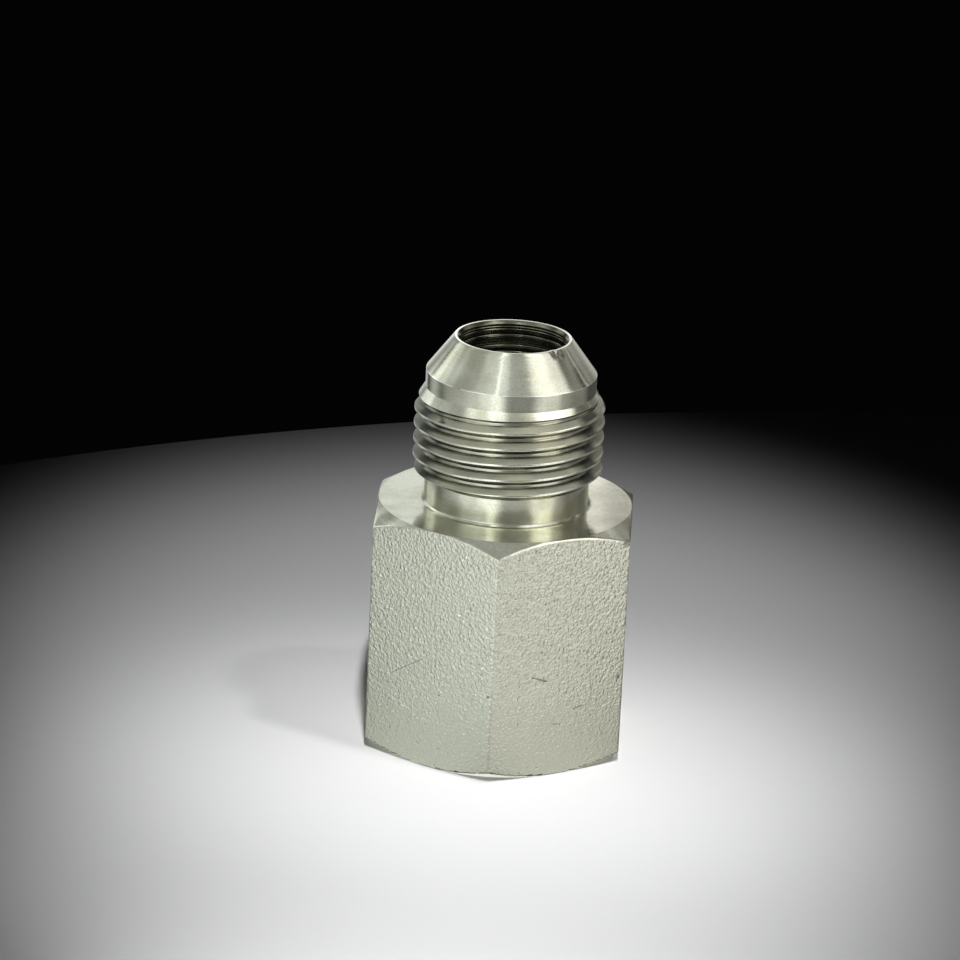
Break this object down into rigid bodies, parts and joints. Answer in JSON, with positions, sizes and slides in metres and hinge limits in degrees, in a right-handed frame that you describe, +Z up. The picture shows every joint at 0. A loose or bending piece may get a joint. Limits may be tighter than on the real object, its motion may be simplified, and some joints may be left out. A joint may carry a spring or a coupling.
{
  "type": "straight hydraulic adapter",
  "caption": "Straight hydraulic adapter: a 37 degree flare nose with an outside thread above a hexagon body with an inside-threaded port in its base.",
  "frame": {"origin": "centre of the base face, at the mouth of the threaded port", "axes": "+Z up the axis of the bore towards the flare nose; one corner of the hexagon points to -Y, so two flats face +X and -X"},
  "size_m": [0.0254, 0.0294, 0.0417],
  "materials": {
    "plated_steel": "plated, bright where it is turned, matt and grainy on the hexagon's flats"
  },
  "bodies": {
    "root": {"adapter_body": "plated_steel"}
  },
  "joints": []
}
